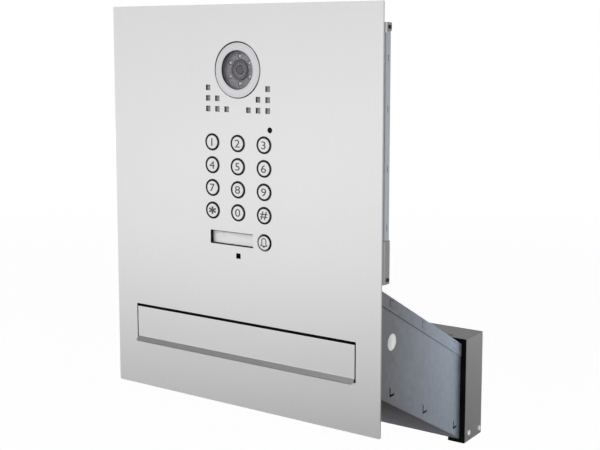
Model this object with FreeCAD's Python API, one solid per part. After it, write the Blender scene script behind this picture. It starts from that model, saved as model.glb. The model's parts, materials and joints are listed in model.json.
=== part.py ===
# Through-the-wall letterbox with a video door station.
# Millimetres. +Z is up and the front faces -Y. The plane Y = 0 is the wall face that the
# panel lies on, and the origin is the middle of the panel's bottom edge on that plane.
import FreeCAD, Part
import math
import os

V = FreeCAD.Vector

# Front panel
panel_side_margin = 12.0
panel_top_margin = 22.0
panel_thickness = 2.0
panel_corner = 1.5

# Camera eye
camera_above_sound = 46.2
ring_diameter = 65.0
ring_gap = 0.9
ring_proud = 0.8
ring_chamfer = 0.5
eye_diameter = 45.0
eye_recess = 1.8
glass_thickness = 2.0
glass_rebate = 1.0
glass_ledge = 0.5
camera_rim_depth = 0.8
camera_cup_wall = 2.5
camera_cup_depth = 22.0
camera_flange = 4.0
camera_ear_radius = 4.5
camera_ear_offset = 1.5
camera_ear_angles = (0.0, 45.0, 135.0, 180.0)
barrel_radius = 12.0
barrel_gap = 0.6
barrel_rim = 2.4
barrel_chamfer = 0.6
barrel_cone = 2.0
lens_radius = 6.0
lens_recess = 1.2
lens_dome = 2.0
led_count = 6
led_circle = 16.2
led_radius = 2.3
led_length = 8.0
led_collar = 0.4
camera_board_ledge = 1.5

# Sound holes: a stepped triangle of square holes at each side of the eye
sound_side = 6.6
sound_pitch_x = 13.8
sound_pitch_z = 12.5
sound_rows = 3
sound_first_x = 16.0
sound_above_keypad = 15.8

# Loudspeaker behind the sound holes
mesh_thickness = 0.4
mesh_margin = 4.0
duct_wall = 1.6
duct_depth = 12.0
speaker_radius = 25.0
speaker_drop = 5.8
speaker_flange = 1.5
speaker_rim = 3.0
speaker_cone_depth = 4.0
speaker_basket_depth = 7.0
speaker_depth = 14.0
magnet_radius = 13.0

# Keypad
key_columns = 3
key_rows = 4
key_pitch_x = 38.0
key_pitch_z = 27.35
key_above_plate = 32.05
key_radius = 8.5
key_gap = 0.2
key_proud = 1.1
key_travel = 1.0
key_edge = 0.5
key_crown = 0.15
key_flange = 1.5
key_flange_thickness = 1.0
collar_wall = 1.6
collar_proud = 0.6
collar_fit = 0.1
key_names = ("key_1", "key_2", "key_3", "key_4", "key_5", "key_6",
             "key_7", "key_8", "key_9", "key_star", "key_0", "key_hash")

# Moulded keypad frame with the contact mat and its board
frame_side_margin = 7.7
frame_bottom_gap = 0.6
frame_above_sensor = 6.2
frame_plate = 1.6
frame_rim = 8.0
frame_wall = 1.6
mat_thickness = 1.0
dome_height = 1.5
dome_radius = 6.5
dome_taper = 1.5
board_thickness = 1.6
board_side_margin = 6.0
board_top_margin = 4.0
mat_gap = 0.5
board_foot_margin = 14.2
boss_radius = 2.5
boss_screw_radius = 1.2
boss_screw_head = 2.4
boss_screw_head_height = 1.7

# Name plate window
plate_bell_spacing = 16.3
plate_rise = 27.3
plate_width = 63.6
plate_window_height = 16.4
plate_border = 1.0
plate_lap = 2.2
plate_pocket_wall = 1.2
plate_glass = 1.2
plate_card = 0.4
plate_backing = 1.6
plate_corner = 0.8

# Light sensor and microphone
sensor_inset = 9.6
sensor_above_keys = 17.6
sensor_radius = 3.4
sensor_length = 5.0
sensor_recess = 0.6
sensor_collar = 0.8
microphone_x = 0.0
microphone_drop = 19.9
microphone_side = 6.5
microphone_radius = 5.0
microphone_length = 5.0
microphone_port = 1.0

# Clearance between pieces that lie on each other
seat = 0.1

# Electronics in the back box
main_board_half_width = 60.0
main_board_rise = 33.0
main_board_height = 122.0
spacer_height = 12.0
spacer_radius = 3.0
spacer_inset = 6.0
terminal_ways = 8
terminal_pitch = 7.5
terminal_height = 10.0
terminal_depth = 9.0
terminal_inset = 4.0
terminal_hole_radius = 2.0
terminal_hole_depth = 4.0
relay_x = -30.5
relay_rise = 48.0
relay_width = 19.0
relay_length = 16.0
relay_height = 10.0
capacitor_x = 20.0
capacitor_rise = 52.0
capacitor_radius = 6.0
capacitor_height = 9.0
chip_rise = 84.0
chip_side = 18.0
chip_height = 1.6

# Back box: a folded frame on the panel and a galvanised pan behind it
box_chute_gap = 3.6
box_above_camera = 54.0
box_sheet = 1.0
box_lip = 10.0
box_stack_gap = 0.3
box_corner = 2.0
frame_sheet = 1.5
frame_flange = 12.0
frame_foot = 8.0
frame_fit = 0.2
frame_back_gap = 1.0
lance_rises = (64.0, 130.0, 196.0, 252.0)
lance_length = 7.0
lance_width = 1.6
lance_inset = 5.0
wall_hole_spacing_x = 300.0
wall_hole_spacing_z = 220.0
wall_hole_radius = 2.6
grommet_x = -120.0
grommet_rise = 83.0
grommet_hole_radius = 9.0
grommet_flange = 3.0
grommet_lip = 1.6

# Side clips that hold the pan to the frame
clip_sheet = 1.2
clip_reach = 23.0
clip_joggle = 1.6
clip_low_height = 49.0
clip_high_height = 13.0
clip_slant = 4.0
clip_screw_inset = 5.3
clip_screw_edge = 4.6
clip_screw_radius = 1.4
clip_head_radius = 2.2
clip_head_height = 1.1
clip_socket_radius = 0.9
clip_socket_depth = 0.6
clip_screw_reach = 2.0
clip_margin = 0.5

# Studs welded to the back of the panel, with their nuts
stud_radius = 2.0
stud_length = 8.0
small_stud_radius = 1.5
small_stud_length = 6.0
stud_fit = 0.2
nut_height_factor = 1.5
nut_radius_factor = 1.9
frame_stud_rises = (23.0, 145.0, 268.0)
keypad_stud_inset = 4.8
keypad_stud_drops = (13.7, 96.2)
duct_stud_margin = 7.1
duct_stud_rise = 13.2
duct_ear = 5.0
tray_stud_rises = (28.9, 88.9)
cover_stud_x = 110.0

# Letter slot and its flap
slot_width = 326.6
slot_bottom_z = 58.6
slot_height = 46.7
slot_corner = 1.0
flap_side_gap = 1.6
flap_top_gap = 2.3
flap_sheet = 1.2
flap_bend = 2.0
flap_axis_y = 3.2
barrel_outer = 3.0
flap_pin_radius = 1.7
pin_clearance = 0.06
pin_head_lap = 0.9
pin_head_length = 1.5
flap_bottom_gap = 4.1
lip_out = 5.5
lip_drop = 5.0
lip_corner = 4.5
bracket_sheet = 1.5
bracket_width = 6.5
bracket_ear_depth = 8.0
bracket_ear_height = 14.0
bracket_offset = 1.7
bracket_flange_gap = 0.5
stop_width = 9.0
stop_rise = 7.4
stop_height = 8.0
bracket_ear_round = 3.0
bracket_head_gap = 1.0
buffer_radius = 2.2
buffer_inset = 1.0
buffer_gap = 0.15

# Chute: a folded tray with a cover, sloping down to the rear casing
chute_sheet = 1.0
chute_slope = 0.53
chute_below_slot = 12.5
chute_above_slot = 58.1
chute_flat = 17.0
chute_corner = 2.0
chute_front_gap = 0.3
chute_flange_width = 11.0
chute_foot = 14.0
chute_flange_gap = 2.0
cover_skirt = 16.8
cover_gap = 0.2
cover_front_flange = 13.0
cover_rear_flange = 9.0
cover_bend = 1.5
tongue_run = 4.0
tongue_reach = 2.0
tongue_margin = 1.0
cover_margin = 2.0
sill_height = 0.9
tab_depths = (38.0, 116.0)
tab_rear_margin = 23.4
tab_side = 7.0
tab_drop = 4.2
tab_rise = 0.6
tab_slot = 1.2
hook_depths = (40.0, 121.5)
hook_rear_margin = 18.4
hook_height = 9.0
hook_length = 11.0
hook_width = 2.4
side_hole_y = 44.8
side_hole_rise = 51.5
side_hole_radius = 10.0

# Rear casing
casing_side_reach = 7.0
casing_front_y = 225.6
casing_depth = 48.4
casing_drop = 5.2
casing_rise = 13.0
casing_sheet = 1.0
casing_corner = 1.2
casing_channel = 23.0
casing_recess = 11.0
casing_mouth_side = 2.5
seal_thickness = 2.0
seal_margin = 0.5
rivet_inset = 10.4
rivet_rise = 11.5
rivet_radius = 2.0
rivet_head_radius = 3.2
rivet_head_height = 1.2
rivet_reach = 3.0
stop_lug_width = 9.0
stop_lug_height = 12.0
stop_lug_drop = 22.0
stop_lug_gap = 0.3
casing_screw_x = 100.0
casing_screw_radius = 1.6
casing_screw_head = 3.0
casing_screw_head_height = 1.6
casing_screw_reach = 4.0

# Rear door, hinged along its bottom edge
door_gap = 0.7
door_depth = 13.5
door_sheet = 1.0
door_bottom_radius = 7.0
door_edge_radius = 2.5
pivot_radius = 2.0
pivot_reach = 6.0

# Cam lock in the door
lock_drop = 27.0
lock_body_radius = 9.5
lock_flat = 8.2
lock_hole_fit = 0.1
lock_head_radius = 11.0
lock_head_height = 3.0
lock_plug_radius = 6.2
lock_length = 17.5
lock_nut_radius = 12.5
lock_nut_height = 3.5
keyway_width = 1.6
keyway_height = 8.0
keyway_depth = 4.0
cam_length = 23.4
cam_width = 14.0
cam_thickness = 2.0
cam_gap = 0.1
cam_square = 8.0
cam_corner = 3.0
cam_screw_radius = 6.0
cam_screw_height = 2.0
catch_width = 28.0
catch_sheet = 1.2
catch_drop = 13.0
catch_gap = 0.6
catch_foot = 9.0

# Widths that follow from the letter slot
slot_half = slot_width / 2
flap_half = slot_half - flap_side_gap
bracket_x = slot_half + bracket_offset
body_half_width = bracket_x + bracket_width + bracket_flange_gap + chute_flange_width
panel_half_width = body_half_width + panel_side_margin
casing_half_width = body_half_width + casing_side_reach
chute_inner_half = body_half_width - chute_sheet
frame_half = body_half_width - box_sheet - frame_fit
recess_half = casing_half_width - casing_channel
mouth_half = recess_half - casing_mouth_side
door_half = casing_half_width - casing_sheet - door_gap

# Heights, from the slot up to the panel's top edge
slot_top_z = slot_bottom_z + slot_height
chute_bottom_z = slot_bottom_z - chute_below_slot
chute_top_z = slot_top_z + chute_above_slot
box_bottom_z = chute_top_z + box_chute_gap
frame_low_z = box_bottom_z + box_sheet + frame_fit
frame_bottom_z = frame_low_z + frame_foot + frame_bottom_gap
board_bottom_z = frame_bottom_z + board_foot_margin
plate_z = frame_bottom_z + plate_rise
microphone_z = plate_z - microphone_drop
key_top_z = plate_z + key_above_plate + (key_rows - 1) * key_pitch_z
sensor_z = key_top_z + sensor_above_keys
frame_top_z = sensor_z + frame_above_sensor
sound_bottom_z = frame_top_z + sound_above_keypad
speaker_z = sound_bottom_z - speaker_drop
camera_z = sound_bottom_z + camera_above_sound
box_top_z = camera_z + box_above_camera
frame_high_z = box_top_z - box_sheet - frame_fit
panel_height = box_top_z + panel_top_margin
flap_top_z = slot_top_z - flap_top_gap
flap_axis_z = flap_top_z - barrel_outer
flap_face_bottom_z = slot_bottom_z + flap_bottom_gap

# Keys, and places on the front: the bell button stands below the last column of keys
collar_inner = key_radius + key_gap
collar_outer = collar_inner + collar_wall
key_hole_radius = collar_outer + collar_fit
bell_x = (key_columns - 1) / 2 * key_pitch_x
boss_x = key_pitch_x / 2
frame_half_width = bell_x + collar_outer + frame_side_margin
keypad_stud_x = frame_half_width - keypad_stud_inset
sensor_x = frame_half_width - sensor_inset
plate_x = bell_x - plate_bell_spacing - plate_width / 2
mesh_half_width = sound_first_x + (sound_rows - 1) * sound_pitch_x + sound_side / 2 + mesh_margin
duct_stud_x = mesh_half_width + duct_stud_margin
duct_stud_z = sound_bottom_z + duct_stud_rise

# Depths of what lies behind the panel, from the front backwards
panel_front_y = -panel_thickness
ring_front_y = panel_front_y - ring_proud
glass_front_y = ring_front_y + eye_recess
glass_back_y = glass_front_y + glass_thickness
barrel_front_y = glass_back_y + barrel_gap
camera_board_y = barrel_front_y + led_length + 1.0
collar_front_y = panel_front_y - collar_proud
frame_back_y = seat + frame_plate
key_flange_front_y = frame_back_y + 2 * seat
key_back_y = key_flange_front_y + key_flange_thickness
dome_front_y = key_back_y + key_travel + 2 * seat
mat_front_y = dome_front_y + dome_height
board_front_y = mat_front_y + mat_thickness + seat
board_back_y = board_front_y + board_thickness
board_head_y = board_back_y + seat
plate_glass_y = frame_back_y + seat
plate_card_y = plate_glass_y + plate_glass + seat
plate_backing_y = plate_card_y + plate_card + seat
main_board_y = board_head_y + boss_screw_head_height + box_stack_gap + relay_height
box_inner_back_y = main_board_y + board_thickness + spacer_height
box_depth = box_inner_back_y + box_sheet
box_lip_y = box_depth - box_lip
clip_screw_y = box_depth - clip_screw_edge

# Radii of the eye
ring_radius = ring_diameter / 2
camera_hole_radius = ring_radius + ring_gap
eye_radius = eye_diameter / 2
camera_flange_radius = camera_hole_radius + camera_flange
glass_radius = eye_radius + glass_rebate
camera_cup_inner = eye_radius - glass_ledge
camera_cup_outer = camera_cup_inner + camera_cup_wall

# Chute and rear casing
chute_tilt = math.atan(chute_slope)
chute_sheet_z = chute_sheet / math.cos(chute_tilt)
chute_rear_y = casing_front_y - seal_thickness - 2 * seat
recess_y = casing_front_y + casing_recess
casing_rear_y = casing_front_y + casing_depth
casing_bottom_z = chute_bottom_z - chute_slope * chute_rear_y - casing_drop
casing_mouth_top_z = chute_top_z - chute_slope * (recess_y - chute_flat)
casing_top_z = casing_mouth_top_z + casing_rise
casing_screw_z = casing_mouth_top_z + cover_rear_flange * 0.55
sill_z = casing_bottom_z + casing_sheet + sill_height
rivet_y = casing_front_y + rivet_inset
rivet_z = casing_bottom_z + rivet_rise
door_low_z = casing_bottom_z + casing_sheet + door_gap
door_high_z = casing_top_z - casing_sheet - door_gap
door_front_y = casing_rear_y - door_depth
pivot_y = casing_rear_y - door_bottom_radius
pivot_z = door_low_z + door_bottom_radius
lock_z = casing_top_z - lock_drop
lock_tip_y = casing_rear_y - lock_length
cam_back_y = lock_tip_y - cam_gap


def block(x0, x1, y0, y1, z0, z1):
    return Part.makeBox(x1 - x0, y1 - y0, z1 - z0, V(x0, y0, z0))


def rod_y(x, z, y0, y1, radius):
    return Part.makeCylinder(radius, y1 - y0, V(x, y0, z), V(0, 1, 0))


def rod_x(y, z, x0, x1, radius):
    return Part.makeCylinder(radius, x1 - x0, V(x0, y, z), V(1, 0, 0))


def hexagon_y(x, z, y0, y1, radius):
    corners = [V(x + radius * math.cos(math.radians(60 * i)), y0,
                 z + radius * math.sin(math.radians(60 * i))) for i in range(7)]
    return Part.Face(Part.makePolygon(corners)).extrude(V(0, y1 - y0, 0))


def turned(x, z, outline):
    """Turns an outline of (radius, y) points about the Y line through x, z."""
    points = [V(x + r, y, z) for r, y in outline]
    face = Part.Face(Part.makePolygon(points + [points[0]]))
    return face.revolve(V(x, 0, z), V(0, 1, 0), 360)


def side_plate(outline, x0, x1):
    """Extrudes a closed outline of (y, z) points from x0 to x1."""
    points = [V(x0, y, z) for y, z in outline]
    return Part.Face(Part.makePolygon(points + [points[0]])).extrude(V(x1 - x0, 0, 0))


def folded(path, bend, sheet, x0, x1):
    """Sheet metal strip: a path of (y, z) points with rounded bends, given its thickness,
    from x0 to x1. bend is the radius of the sheet's middle line."""
    points = [V(x0, y, z) for y, z in path]
    runs = [(b - a).normalize() for a, b in zip(points, points[1:])]

    def offset_side(amount):
        edges = []
        start = points[0] + normal(runs[0]) * amount
        for corner, before, after in zip(points[1:-1], runs, runs[1:]):
            turn = before.getAngle(after)
            reach = bend * math.tan(turn / 2)
            left = before.cross(after).x > 0
            inward = normal(before) * (1 if left else -1)
            centre = corner - before * reach + inward * bend
            radius = bend - amount if left else bend + amount
            enter = centre - inward * radius
            leave = centre - normal(after) * (1 if left else -1) * radius
            middle = centre + (enter + leave - centre * 2).normalize() * radius
            edges.append(Part.makeLine(start, enter))
            edges.append(Part.Arc(enter, middle, leave).toShape())
            start = leave
        edges.append(Part.makeLine(start, points[-1] + normal(runs[-1]) * amount))
        return edges

    def normal(run):
        return V(0, -run.z, run.y)

    near = offset_side(sheet / 2)
    far = offset_side(-sheet / 2)
    ends = [Part.makeLine(near[0].Vertexes[0].Point, far[0].Vertexes[0].Point),
            Part.makeLine(near[-1].Vertexes[-1].Point, far[-1].Vertexes[-1].Point)]
    outline = Part.Wire(Part.__sortEdges__(near + far + ends))
    return Part.Face(outline).extrude(V(x1 - x0, 0, 0))


def edges_along(shape, direction):
    """Straight edges parallel to a direction."""
    found = []
    for edge in shape.Edges:
        if edge.Curve.TypeId == "Part::GeomLine" and edge.Curve.Direction.cross(direction).Length < 1e-6:
            found.append(edge)
    return found


def both_sides(shape):
    """The shape and its mirror image across the middle plane X = 0."""
    return [shape, shape.mirror(V(0, 0, 0), V(1, 0, 0))]


def fuse(shapes):
    return shapes[0].fuse(shapes[1:]).removeSplitter()


def cut(shape, tools):
    return shape.cut(Part.makeCompound(tools))


def save(name, shapes):
    solids = []
    for shape in shapes if isinstance(shapes, list) else [shapes]:
        solids.extend(shape.Solids)
    result = solids[0] if len(solids) == 1 else Part.makeCompound(solids)
    result.exportStep("parts/" + name + ".step")


def key_places():
    """Centre (x, z) of each key, row by row from the top left."""
    places = []
    for row in range(key_rows):
        for column in range(key_columns):
            x = (column - (key_columns - 1) / 2) * key_pitch_x
            places.append((x, key_top_z - row * key_pitch_z))
    return places


def sound_places():
    """Centres of the sound holes: each row upwards starts one step further out."""
    places = []
    for row in range(sound_rows):
        for column in range(row, sound_rows):
            x = sound_first_x + column * sound_pitch_x
            z = sound_bottom_z + row * sound_pitch_z
            places.extend([(x, z), (-x, z)])
    return places


def camera_ear_places():
    """Centres of the ears that carry the camera housing, just outside its flange."""
    reach = camera_flange_radius + camera_ear_offset
    return [(reach * math.cos(math.radians(a)), camera_z + reach * math.sin(math.radians(a)))
            for a in camera_ear_angles]


def boss_places():
    rows = (key_top_z - key_pitch_z / 2, key_top_z - 2.5 * key_pitch_z)
    return [(side * boss_x, z) for z in rows for side in (-1, 1)]


def large_stud_places():
    """Studs for the box frame, for the tray's side and foot flanges and for the cover."""
    frame_x = frame_half - frame_flange / 2
    tray_x = body_half_width - chute_flange_width / 2
    foot_z = chute_bottom_z - chute_foot / 2
    cover_z = chute_top_z - cover_front_flange * 0.6
    places = [(frame_x, box_bottom_z + rise) for rise in frame_stud_rises]
    places += [(tray_x, chute_bottom_z + rise) for rise in tray_stud_rises]
    places += [(cover_stud_x, foot_z), (cover_stud_x, cover_z)]
    return places + [(-x, z) for x, z in places]


def small_stud_places():
    """Studs for the keypad frame, the speaker duct and the camera housing."""
    places = [(keypad_stud_x, key_top_z - drop) for drop in keypad_stud_drops]
    places.append((duct_stud_x, duct_stud_z))
    return places + [(-x, z) for x, z in places] + camera_ear_places()


def make_front_panel():
    plate = block(-panel_half_width, panel_half_width, panel_front_y, 0, 0, panel_height)
    plate = plate.makeFillet(panel_corner, edges_along(plate, V(0, 1, 0)))

    def opening(x, z, width, height):
        return block(x - width / 2, x + width / 2, 2 * panel_front_y, -panel_front_y,
                     z - height / 2, z + height / 2)

    def rounded(shape, corner):
        return shape.makeFillet(corner, edges_along(shape, V(0, 1, 0)))

    def round_hole(x, z, radius):
        return rod_y(x, z, 2 * panel_front_y, -panel_front_y, radius)

    holes = [round_hole(0, camera_z, camera_hole_radius), round_hole(sensor_x, sensor_z, sensor_radius)]
    holes += [opening(x, z, sound_side, sound_side) for x, z in sound_places()]
    holes += [round_hole(x, z, key_hole_radius) for x, z in key_places() + [(bell_x, plate_z)]]
    holes.append(opening(microphone_x, microphone_z, microphone_side, microphone_side))
    holes.append(rounded(opening(plate_x, plate_z, plate_width, plate_window_height), plate_corner))
    slot_z = (slot_bottom_z + slot_top_z) / 2
    holes.append(rounded(opening(0, slot_z, slot_width, slot_top_z - slot_bottom_z), slot_corner))
    save("front_panel", cut(plate, holes))


def make_camera():
    save("camera_ring", turned(0, camera_z, [
        (eye_radius, ring_front_y + ring_chamfer), (eye_radius + ring_chamfer, ring_front_y),
        (ring_radius - ring_chamfer, ring_front_y), (ring_radius, ring_front_y + ring_chamfer),
        (ring_radius, 0), (glass_radius + seat, 0), (glass_radius + seat, glass_front_y),
        (eye_radius, glass_front_y)]))
    save("camera_window", rod_y(0, camera_z, glass_front_y + seat, glass_back_y, glass_radius))
    make_camera_housing()

    back_y = camera_board_y - seat
    bore = lens_radius + seat
    save("camera_barrel", turned(0, camera_z, [
        (barrel_radius, back_y), (barrel_radius, barrel_front_y + barrel_chamfer),
        (barrel_radius - barrel_chamfer, barrel_front_y), (barrel_radius - barrel_rim, barrel_front_y),
        (bore + barrel_rim / 2, barrel_front_y + barrel_cone), (bore, barrel_front_y + barrel_cone),
        (bore, back_y)]))
    dome_y = barrel_front_y + lens_recess
    save("camera_lens", turned(0, camera_z, [
        (0, dome_y), (lens_radius / 2, dome_y + lens_dome / 5),
        (lens_radius * 5 / 6, dome_y + lens_dome / 2), (lens_radius, dome_y + lens_dome),
        (lens_radius, back_y), (0, back_y)]))

    leds = []
    tip_y = camera_board_y - led_length
    for i in range(led_count):
        angle = math.radians(90 + 360 / led_count * i)
        x = led_circle * math.cos(angle)
        z = camera_z + led_circle * math.sin(angle)
        leds.append(turned(x, z, [
            (0, tip_y), (led_radius * 0.6, tip_y + led_collar), (led_radius, tip_y + led_radius * 0.7),
            (led_radius, back_y - 1.0), (led_radius + led_collar, back_y - 1.0),
            (led_radius + led_collar, back_y), (0, back_y)]))
    save("ir_leds", leds)
    save("camera_board", rod_y(0, camera_z, camera_board_y, camera_board_y + board_thickness,
                               camera_cup_inner - 3 * seat))


def make_camera_housing():
    """Black cup behind the eye: a rim in the gap round the ring, a ledge for the glass, a
    shoulder for the board and ears for its studs."""
    rim_front_y = panel_front_y + camera_rim_depth
    rim_inner = ring_radius + 2 * seat
    rim_outer = camera_hole_radius - seat
    glass_seat = glass_radius + 2 * seat
    ledge_y = glass_back_y + seat
    shoulder_y = camera_board_y + board_thickness + seat
    board_seat = camera_cup_inner - camera_board_ledge
    floor_y = camera_cup_depth - camera_cup_wall
    housing = turned(0, camera_z, [
        (0, camera_cup_depth), (camera_cup_outer, camera_cup_depth), (camera_cup_outer, frame_back_y),
        (camera_flange_radius, frame_back_y), (camera_flange_radius, seat), (rim_outer, seat),
        (rim_outer, rim_front_y), (rim_inner, rim_front_y), (rim_inner, seat), (glass_seat, seat),
        (glass_seat, ledge_y), (camera_cup_inner, ledge_y), (camera_cup_inner, shoulder_y),
        (board_seat, shoulder_y), (board_seat, floor_y), (0, floor_y)])
    hollow = rod_y(0, camera_z, 0, frame_back_y, rim_outer)
    ears = [rod_y(x, z, seat, frame_back_y, camera_ear_radius).cut(hollow) for x, z in camera_ear_places()]
    holes = [rod_y(x, z, 0, 2 * frame_back_y, small_stud_radius + stud_fit) for x, z in camera_ear_places()]
    save("camera_housing", cut(fuse([housing] + ears), holes))


def make_speaker():
    reach_x = mesh_half_width
    low_z = sound_bottom_z - sound_side / 2 - mesh_margin
    high_z = sound_bottom_z + (sound_rows - 1) * sound_pitch_z + sound_side / 2 + mesh_margin
    wall = duct_wall
    clear = camera_flange_radius + 1.0
    front_y = seat + mesh_thickness + seat
    back_y = front_y + duct_depth

    def round_eye(radius):
        return rod_y(0, camera_z, 0, back_y + 1, radius)

    mesh = block(-reach_x, reach_x, seat, seat + mesh_thickness, low_z, high_z)
    save("speaker_mesh", mesh.cut(round_eye(clear)))

    outer = block(-reach_x, reach_x, front_y, back_y, low_z, high_z).cut(round_eye(clear))
    inner = block(-reach_x + wall, reach_x - wall, 0, back_y - wall, low_z + wall, high_z - wall)
    inner = inner.cut(round_eye(clear + wall))
    carrier = rod_y(0, speaker_z, back_y - wall, back_y, speaker_radius + wall)
    carrier = carrier.cut(round_eye(camera_cup_outer + 2 * wall))
    sound_way = rod_y(0, speaker_z, back_y - 2 * wall, back_y + 1, speaker_radius - speaker_rim - 1.0)
    sound_way = sound_way.common(block(-reach_x, reach_x, 0, back_y + 1, low_z + wall, high_z))
    sound_way = sound_way.cut(round_eye(clear + wall))
    ear_x = duct_stud_x + duct_ear
    ear_z = (duct_stud_z - duct_ear, duct_stud_z + duct_ear)
    ears = both_sides(block(reach_x - wall / 2, ear_x, front_y, front_y + wall, *ear_z))
    holes = both_sides(rod_y(duct_stud_x, duct_stud_z, 0, back_y, small_stud_radius + stud_fit))
    save("speaker_duct", cut(fuse([outer.cut(inner), carrier] + ears), holes + [sound_way]))

    y = back_y + seat
    basket_y = y + speaker_basket_depth
    save("speaker", turned(0, speaker_z, [
        (0, y + speaker_cone_depth - 1.0), (speaker_rim * 2, y + speaker_cone_depth),
        (speaker_radius - speaker_rim - 1.0, y + speaker_flange / 2), (speaker_radius - speaker_rim, y),
        (speaker_radius, y), (speaker_radius, y + speaker_flange),
        (speaker_radius - speaker_rim, y + speaker_flange), (magnet_radius + 1.0, basket_y),
        (magnet_radius, basket_y), (magnet_radius, y + speaker_depth), (0, y + speaker_depth)]))


def make_key(name, x, z):
    front_y = panel_front_y - key_proud
    flat = key_radius - key_edge
    save(name, turned(x, z, [
        (0, front_y + key_crown), (flat - 2 * key_edge, front_y), (flat, front_y),
        (key_radius, front_y + key_edge), (key_radius, key_flange_front_y),
        (key_radius + key_flange, key_flange_front_y), (key_radius + key_flange, key_back_y),
        (0, key_back_y)]))


def make_keys():
    for name, (x, z) in zip(key_names, key_places()):
        make_key(name, x, z)
    make_key("bell_button", bell_x, plate_z)
    edge = collar_wall / 5
    save("bell_ring", turned(bell_x, plate_z, [
        (collar_inner, collar_front_y + edge), (collar_inner + edge, collar_front_y),
        (collar_outer - edge, collar_front_y), (collar_outer, collar_front_y + edge),
        (collar_outer, frame_back_y), (collar_inner, frame_back_y)]))


def make_keypad_frame():
    """Moulded frame: plate, rim, a collar for each key, board bosses and the card's pocket."""
    half = frame_half_width
    inner = half - frame_wall
    plate = block(-half, half, seat, frame_back_y, frame_bottom_z, frame_top_z)
    rim = block(-half, half, seat, frame_rim, frame_bottom_z, frame_top_z)
    rim = rim.cut(block(-inner, inner, 0, frame_rim + 1,
                        frame_bottom_z + frame_wall, frame_top_z - frame_wall))
    collars = [rod_y(x, z, collar_front_y, frame_back_y, collar_outer) for x, z in key_places()]
    bosses = [rod_y(x, z, frame_back_y, board_front_y - seat, boss_radius) for x, z in boss_places()]

    def round_card(y0, y1, grow):
        reach_x = plate_width / 2 + grow
        reach_z = plate_window_height / 2 + grow
        return block(plate_x - reach_x, plate_x + reach_x, y0, y1, plate_z - reach_z, plate_z + reach_z)

    pocket_back_y = plate_backing_y + plate_backing
    pocket = round_card(frame_back_y, pocket_back_y, plate_lap + plate_pocket_wall)
    pocket = pocket.cut(round_card(frame_back_y, pocket_back_y, plate_lap))
    holes = [rod_y(x, z, 2 * collar_front_y, 2 * frame_back_y, collar_inner) for x, z in key_places()]
    holes.append(rod_y(bell_x, plate_z, 0, 2 * frame_back_y, collar_outer + collar_fit))
    screw_hole = boss_screw_radius + seat
    holes += [rod_y(x, z, frame_back_y + 1, board_front_y, screw_hole) for x, z in boss_places()]
    for drop in keypad_stud_drops:
        holes += both_sides(rod_y(keypad_stud_x, key_top_z - drop, 0, 2 * frame_back_y,
                                  small_stud_radius + stud_fit))
    holes.append(round_card(0, 2 * frame_back_y, -plate_border))
    holes.append(rod_y(sensor_x, sensor_z, 0, 2 * frame_back_y, sensor_radius))
    reach = microphone_side / 2
    holes.append(block(microphone_x - reach, microphone_x + reach, 0, 2 * frame_back_y,
                       microphone_z - reach, microphone_z + reach))
    save("keypad_frame", cut(fuse([plate, rim, pocket] + collars + bosses), holes))


def make_key_contacts():
    """Rubber mat with a dome behind each key, the board under it and the board's screws."""
    inner = frame_half_width - frame_wall - board_side_margin
    top_z = frame_top_z - frame_wall - board_top_margin
    mat_back_y = mat_front_y + mat_thickness
    mat = block(-inner, inner, mat_front_y, mat_back_y, board_bottom_z, top_z)
    tip_radius = dome_radius - dome_taper
    domes = [Part.makeCone(tip_radius, dome_radius, dome_height, V(x, dome_front_y, z), V(0, 1, 0))
             for x, z in key_places() + [(bell_x, plate_z)]]
    holes = [rod_y(x, z, dome_front_y, board_back_y, boss_radius + mat_gap) for x, z in boss_places()]
    save("key_mat", cut(fuse([mat] + domes), holes))
    board = block(-inner, inner, board_front_y, board_back_y, board_bottom_z, top_z)
    holes = [rod_y(x, z, mat_back_y, board_back_y + 1, boss_screw_radius + seat) for x, z in boss_places()]
    save("keypad_board", cut(board, holes))
    head_y = board_head_y
    tip_y = frame_back_y + 1 + seat
    save("board_screws", [turned(x, z, [
        (0, tip_y), (boss_screw_radius, tip_y), (boss_screw_radius, head_y), (boss_screw_head, head_y),
        (boss_screw_head, head_y + boss_screw_head_height), (0, head_y + boss_screw_head_height)])
        for x, z in boss_places()])


def make_nameplate():
    def layer(y, thickness, inset):
        reach_x = plate_width / 2 + plate_lap - inset
        reach_z = plate_window_height / 2 + plate_lap - inset
        return block(plate_x - reach_x, plate_x + reach_x, y, y + thickness,
                     plate_z - reach_z, plate_z + reach_z)

    save("nameplate_window", layer(plate_glass_y, plate_glass, seat))
    save("nameplate_card", layer(plate_card_y, plate_card, 5 * seat))
    save("nameplate_backing", layer(plate_backing_y, plate_backing, seat))


def make_sensor_and_microphone():
    tip_y = panel_front_y + sensor_recess
    body = sensor_radius - 2 * seat
    collar_y = frame_back_y + seat
    save("light_sensor", turned(sensor_x, sensor_z, [
        (0, tip_y), (body * 0.7, tip_y + sensor_recess), (body, tip_y + 2 * sensor_recess),
        (body, collar_y),
        (body + sensor_collar, collar_y), (body + sensor_collar, collar_y + sensor_collar),
        (body, collar_y + sensor_collar), (body, sensor_length), (0, sensor_length)]))
    back_y = collar_y + microphone_length
    save("microphone", turned(microphone_x, microphone_z, [
        (0, collar_y + microphone_port), (microphone_port, collar_y + microphone_port),
        (microphone_port, collar_y), (microphone_radius, collar_y), (microphone_radius, back_y),
        (0, back_y)]))


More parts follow.
